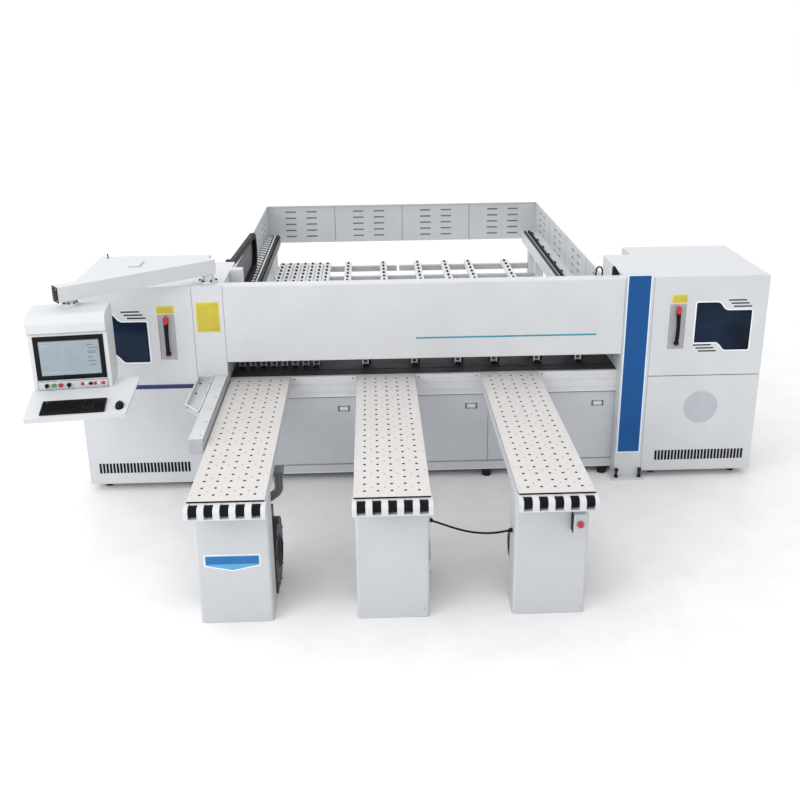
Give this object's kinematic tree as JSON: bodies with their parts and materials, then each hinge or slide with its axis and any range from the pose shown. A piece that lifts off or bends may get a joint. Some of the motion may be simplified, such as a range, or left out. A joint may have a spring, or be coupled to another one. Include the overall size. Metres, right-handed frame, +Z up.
{
  "type": "panel saw",
  "caption": "Beam panel saw: perforated air tables in front, a clamping beam over a hidden saw carriage, end cabinets with doors, a swinging console, and a fenced rear pusher.",
  "frame": {"origin": "on the floor under the cut line, in the middle of the foot below the middle air table's axis", "axes": "+X along the cut to the operator's right, +Y from the operator to the back, +Z up"},
  "size_m": [5.8108, 6.948, 1.998],
  "materials": {
    "white_paint": "satin powder coat",
    "shade_paint": "satin powder coat",
    "guard_paint": "satin powder coat",
    "blue_film": "satin film",
    "table_board": "satin laminate",
    "dark_steel": "ground",
    "bright_steel": "ground",
    "black_steel": "blackened",
    "aluminium": "anodised",
    "blower_paint": "satin",
    "duct_grey": "matt",
    "black_rubber": "matt",
    "black_plastic": "fine grain",
    "screen": "gloss",
    "dark_pane": "gloss",
    "red_plastic": "gloss",
    "green_plastic": "gloss",
    "relay_plastic": "matt"
  },
  "bodies": {
    "frame": {"air_ducts": "duct_grey", "banner_panel": "blue_film", "beam_core": "white_paint", "beam_cover": "white_paint", "bed_frame": "shade_paint", "bed_top": "dark_steel", "blowers": "blower_paint", "cross_tubes": "shade_paint", "drag_chain": "black_plastic", "electric_panel": "relay_plastic", "front_profile": "aluminium", "guard_panels": "guard_paint", "guide_rails": "bright_steel", "left_cabinet": "white_paint", "left_post": "white_paint", "levelling_feet": "black_steel", "lift_cylinders": "aluminium", "pedestals": "white_paint", "rail_beams": "white_paint", "rail_wheels": "black_plastic", "right_cabinet": "white_paint", "right_post": "white_paint", "roller_caps": "white_paint", "side_fence": "aluminium", "stop_box": "shade_paint", "table_cable": "black_rubber", "table_plenums": "white_paint", "table_tops": "table_board", "wheel_rails": "aluminium"},
    "front_rollers": {"front_rollers": "black_plastic"},
    "blower_impellers": {"blower_impellers": "aluminium"},
    "emergency_stop": {"emergency_stop": "red_plastic"},
    "pressure_beam": {"pressure_beam": "white_paint"},
    "pusher": {"pusher_beam": "white_paint", "gripper_bodies": "black_steel"},
    "gripper_jaws": {"gripper_jaws": "bright_steel"},
    "saw_carriage": {"saw_carriage": "dark_steel"},
    "saw_lift": {"saw_slide": "shade_paint", "drive_belt": "black_rubber"},
    "main_blade": {"main_blade": "bright_steel"},
    "scoring_blade": {"scoring_blade": "bright_steel"},
    "access_panel_1": {"access_panel_1": "shade_paint"},
    "access_panel_2": {"access_panel_2": "shade_paint"},
    "access_panel_3": {"access_panel_3": "shade_paint"},
    "left_door": {"left_door": "white_paint", "left_window": "dark_pane"},
    "left_handle": {"left_handle": "black_plastic"},
    "right_door": {"right_door": "white_paint", "right_window": "dark_pane"},
    "right_handle": {"right_handle": "black_plastic"},
    "console_arm": {"console_arm": "white_paint"},
    "console": {"console_box": "white_paint", "monitor": "screen", "keyboard_tray": "white_paint", "keyboard": "black_plastic", "mouse": "black_plastic"},
    "start_button": {"start_button": "green_plastic"},
    "stop_button": {"stop_button": "red_plastic"},
    "selector_left": {"selector_left": "black_plastic"},
    "selector_right": {"selector_right": "black_plastic"}
  },
  "joints": [
    {"name": "front_rollers_spin", "type": "hinge", "parent": "frame", "child": "front_rollers", "pos_m": [0, -2.36, 0.94], "axis": [1, 0, 0], "continuous": true},
    {"name": "blower_spin", "type": "hinge", "parent": "frame", "child": "blower_impellers", "pos_m": [0, -1.734, 0.265], "axis": [1, 0, 0], "continuous": true},
    {"name": "emergency_stop_push", "type": "slide", "parent": "frame", "child": "emergency_stop", "axis": [0, 1, 0], "range_m": [0, 0.006], "stiffness_N_per_m": 2000},
    {"name": "pressure_beam_lift", "type": "slide", "parent": "frame", "child": "pressure_beam", "axis": [0, 0, 1], "range_m": [-0.17, 0]},
    {"name": "pusher_slide", "type": "slide", "parent": "frame", "child": "pusher", "axis": [0, 1, 0], "range_m": [0, 3.15], "deforming": ["drag_chain"]},
    {"name": "gripper_close", "type": "hinge", "parent": "pusher", "child": "gripper_jaws", "pos_m": [0, 0.385, 1.047], "axis": [1, 0, 0], "range_deg": [0, 7]},
    {"name": "saw_carriage_slide", "type": "slide", "parent": "frame", "child": "saw_carriage", "axis": [1, 0, 0], "range_m": [0, 4.5]},
    {"name": "saw_lift", "type": "slide", "parent": "saw_carriage", "child": "saw_lift", "axis": [0, 0, 1], "range_m": [0, 0.11]},
    {"name": "main_blade_spin", "type": "hinge", "parent": "saw_lift", "child": "main_blade", "pos_m": [-2.06, 0, 0.765], "axis": [0, 1, 0], "continuous": true},
    {"name": "scoring_blade_spin", "type": "hinge", "parent": "saw_lift", "child": "scoring_blade", "pos_m": [-1.74, 0, 0.782], "axis": [0, 1, 0], "continuous": true},
    {"name": "left_door_hinge", "type": "hinge", "parent": "frame", "child": "left_door", "pos_m": [-2.55, -0.211, 1.38], "axis": [0, 0, -1], "range_deg": [0, 35]},
    {"name": "left_handle_turn", "type": "hinge", "parent": "left_door", "child": "left_handle", "pos_m": [-1.782, -0.24, 1.528], "axis": [0, 1, 0], "range_deg": [0, 90]},
    {"name": "right_door_hinge", "type": "hinge", "parent": "frame", "child": "right_door", "pos_m": [3.172, -0.211, 1.38], "axis": [0, 0, 1], "range_deg": [0, 105]},
    {"name": "right_handle_turn", "type": "hinge", "parent": "right_door", "child": "right_handle", "pos_m": [2.428, -0.24, 1.528], "axis": [0, -1, 0], "range_deg": [0, 90]},
    {"name": "console_arm_swivel", "type": "hinge", "parent": "frame", "child": "console_arm", "pos_m": [-1.44, -0.1, 1.83], "axis": [0, 0, 1], "range_deg": [0, 60]},
    {"name": "console_swivel", "type": "hinge", "parent": "console_arm", "child": "console", "pos_m": [-2.354, -0.793, 1.86], "axis": [0, 0, 1], "range_deg": [-60, 60]},
    {"name": "start_button_push", "type": "slide", "parent": "console", "child": "start_button", "axis": [-0.108, 0.9942, 0], "range_m": [0, 0.005], "stiffness_N_per_m": 800},
    {"name": "stop_button_push", "type": "slide", "parent": "console", "child": "stop_button", "axis": [-0.108, 0.9942, 0], "range_m": [0, 0.005], "stiffness_N_per_m": 800},
    {"name": "selector_left_turn", "type": "hinge", "parent": "console", "child": "selector_left", "pos_m": [-2.5155, -1.0469, 1.295], "axis": [-0.108, 0.9942, 0], "range_deg": [-45, 45]},
    {"name": "selector_right_turn", "type": "hinge", "parent": "console", "child": "selector_right", "pos_m": [-2.3584, -1.0299, 1.295], "axis": [-0.108, 0.9942, 0], "range_deg": [-45, 45]},
    {"name": "access_panel_1_hinge", "type": "hinge", "parent": "frame", "child": "access_panel_1", "pos_m": [-1.308, -0.13, 0.45], "axis": [0, 0, -1], "range_deg": [0, 85]},
    {"name": "access_panel_2_hinge", "type": "hinge", "parent": "frame", "child": "access_panel_2", "pos_m": [-0.213, -0.13, 0.45], "axis": [0, 0, -1], "range_deg": [0, 85]},
    {"name": "access_panel_3_hinge", "type": "hinge", "parent": "frame", "child": "access_panel_3", "pos_m": [0.882, -0.13, 0.45], "axis": [0, 0, -1], "range_deg": [0, 85]}
  ]
}
